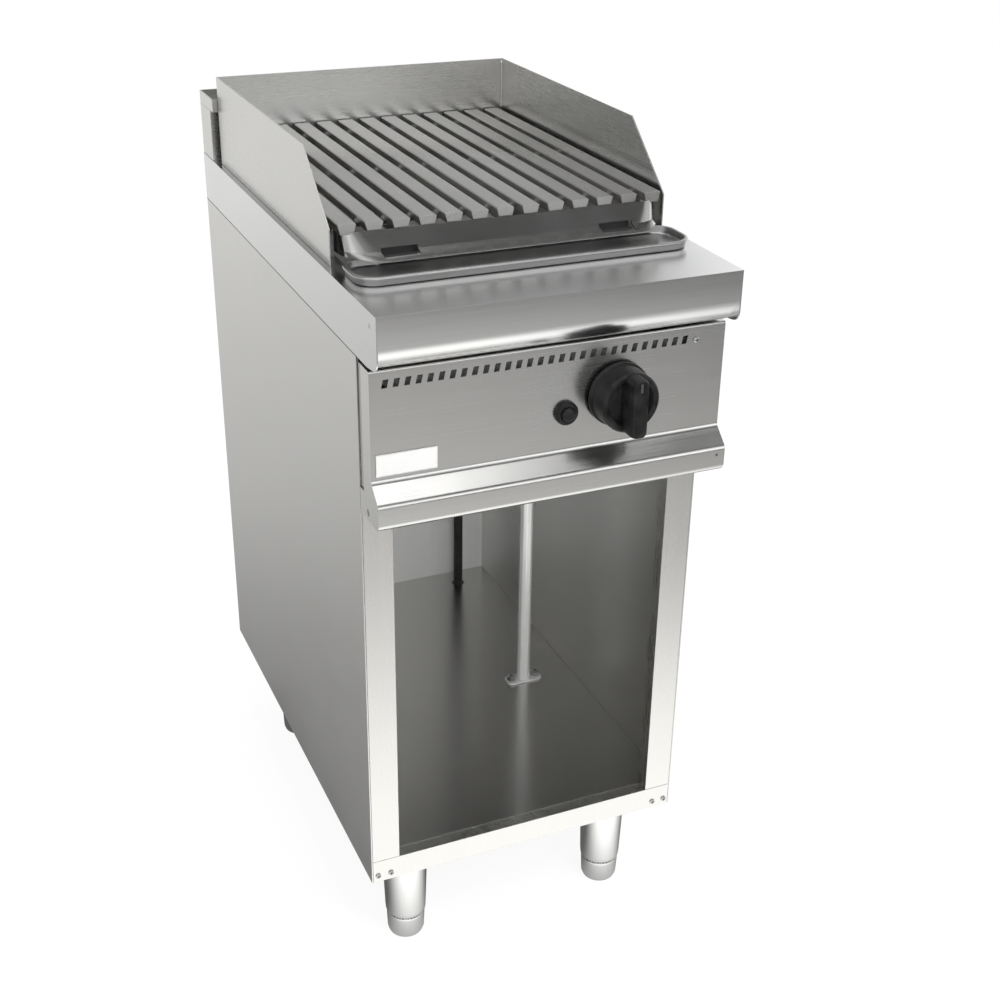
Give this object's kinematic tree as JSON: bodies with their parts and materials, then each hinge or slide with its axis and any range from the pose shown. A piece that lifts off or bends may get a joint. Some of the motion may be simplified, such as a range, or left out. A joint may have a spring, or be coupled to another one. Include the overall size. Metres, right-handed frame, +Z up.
{
  "type": "charbroiler grill",
  "caption": "Freestanding gas chargrill with a flat-bar grate inside a splash guard, over an open stainless cabinet on round legs, with a knob and an igniter on its front.",
  "frame": {"origin": "on the floor, under the centre of the bounding box", "axes": "+Z up, front towards -Y, +X to the right seen from the front"},
  "size_m": [0.4, 0.708, 0.978],
  "materials": {
    "steel": "brushed stainless sheet",
    "bright": "fine bright stainless",
    "dark_steel": "dull heat-darkened steel",
    "iron": "heat-resistant grey",
    "brass": "machined",
    "black": "satin black",
    "white": "white-coated plate",
    "ceramic": "glazed insulator"
  },
  "bodies": {
    "cabinet": {"back_panel": "steel", "bottom_rail": "bright", "burner": "iron", "burner_bracket": "dark_steel", "burner_well": "dark_steel", "cabinet_floor": "steel", "cheek_screw_left": "dark_steel", "cheek_screw_right": "dark_steel", "control_panel": "steel", "drain_flange": "bright", "drain_pipe": "bright", "drain_screw_left": "bright", "drain_screw_right": "bright", "flue_cap": "steel", "flue_column": "steel", "flue_duct": "dark_steel", "flue_grille": "steel", "frame_screw_1": "dark_steel", "frame_screw_2": "dark_steel", "frame_screw_3": "dark_steel", "frame_screw_4": "dark_steel", "gas_inlet_fitting": "brass", "gas_supply_pipe": "bright", "grate_rail_left": "dark_steel", "grate_rail_right": "dark_steel", "igniter_body": "black", "label_plate": "white", "leg_fl": "bright", "leg_fr": "bright", "leg_rl": "bright", "leg_rr": "bright", "panel_screw": "bright", "pillar_left": "bright", "pillar_right": "bright", "pilot_burner": "brass", "radiant_ledge_front": "dark_steel", "radiant_ledge_rear": "dark_steel", "rear_base_rail": "steel", "side_panel_left": "steel", "side_panel_right": "steel", "spark_electrode": "ceramic", "thermocouple": "brass", "top_cross_rail": "steel", "valve_body": "brass", "venturi": "iron", "worktop": "steel"},
    "spindle": {"valve_spindle": "bright"},
    "knob": {"knob_skirt": "black", "knob_grip": "black"},
    "igniter": {"igniter_button": "black"},
    "guard": {"splash_guard": "steel"},
    "grate": {"grate": "iron", "grate_apron": "steel"},
    "tray": {"grease_tray": "bright"},
    "radiant_left": {"radiant_left": "iron"},
    "radiant_right": {"radiant_right": "iron"},
    "foot_fl": {"foot_fl": "bright"},
    "foot_fr": {"foot_fr": "bright"},
    "foot_rl": {"foot_rl": "bright"},
    "foot_rr": {"foot_rr": "bright"}
  },
  "joints": [
    {"name": "knob_press", "type": "slide", "parent": "cabinet", "child": "spindle", "axis": [0, 1, 0], "range_m": [0, 0.004], "stiffness_N_per_m": 1500},
    {"name": "knob_turn", "type": "hinge", "parent": "spindle", "child": "knob", "pos_m": [0.073, -0.3, 0.744], "axis": [0, -1, 0], "range_deg": [0, 210]},
    {"name": "igniter_press", "type": "slide", "parent": "cabinet", "child": "igniter", "axis": [0, 1, 0], "range_m": [0, 0.004], "stiffness_N_per_m": 1200},
    {"name": "guard_lift", "type": "slide", "parent": "cabinet", "child": "guard", "axis": [0, 0, 1], "range_m": [0, 0.15]},
    {"name": "grate_lift", "type": "slide", "parent": "cabinet", "child": "grate", "axis": [0, 0, 1], "range_m": [0, 0.12]},
    {"name": "tray_slide", "type": "slide", "parent": "cabinet", "child": "tray", "axis": [0, -1, 0], "range_m": [0, 0.1]},
    {"name": "radiant_left_lift", "type": "slide", "parent": "cabinet", "child": "radiant_left", "axis": [0, 0, 1], "range_m": [0, 0.05]},
    {"name": "radiant_right_lift", "type": "slide", "parent": "cabinet", "child": "radiant_right", "axis": [0, 0, 1], "range_m": [0, 0.05]},
    {"name": "foot_fl_screw", "type": "slide", "parent": "cabinet", "child": "foot_fl", "axis": [0, 0, -1], "range_m": [0, 0.03]},
    {"name": "foot_fr_screw", "type": "slide", "parent": "cabinet", "child": "foot_fr", "axis": [0, 0, -1], "range_m": [0, 0.03]},
    {"name": "foot_rl_screw", "type": "slide", "parent": "cabinet", "child": "foot_rl", "axis": [0, 0, -1], "range_m": [0, 0.03]},
    {"name": "foot_rr_screw", "type": "slide", "parent": "cabinet", "child": "foot_rr", "axis": [0, 0, -1], "range_m": [0, 0.03]}
  ]
}
